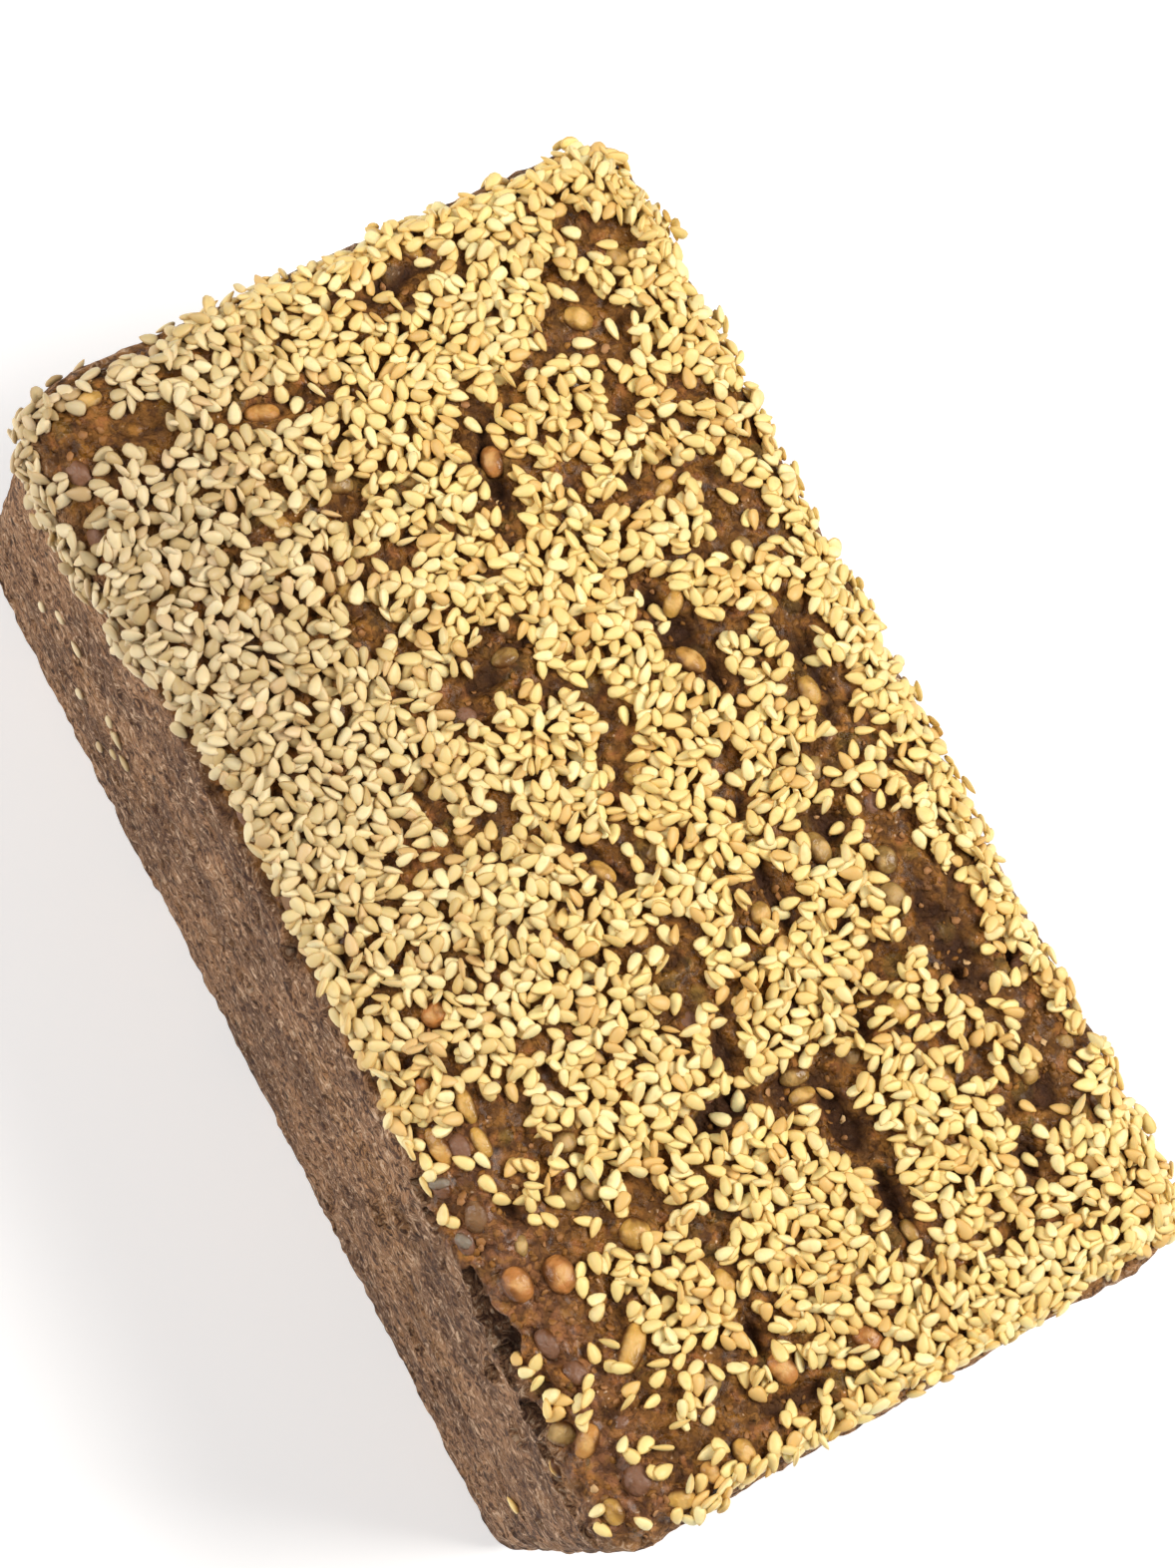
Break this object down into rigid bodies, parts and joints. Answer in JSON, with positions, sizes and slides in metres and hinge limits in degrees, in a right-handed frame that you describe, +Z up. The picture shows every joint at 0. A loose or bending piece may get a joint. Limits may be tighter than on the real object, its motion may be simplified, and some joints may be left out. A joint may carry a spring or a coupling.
{
  "type": "rye bread loaf",
  "caption": "Whole tin-baked rye loaf: rounded box with straight drafted walls and a flat base, its top thickly covered with sesame seeds over a dark, grainy crust.",
  "frame": {"origin": "middle of the flat base the loaf rests on", "axes": "+X along the loaf, +Y across it, +Z up"},
  "size_m": [0.19, 0.104, 0.0889],
  "materials": {
    "crust": "matte brown baked crust, glossier where the top is bare",
    "sesame": "satin, pale gold toasted seed",
    "grain": "glossy amber whole grain"
  },
  "bodies": {
    "root": {"loaf": "crust"}
  },
  "joints": []
}
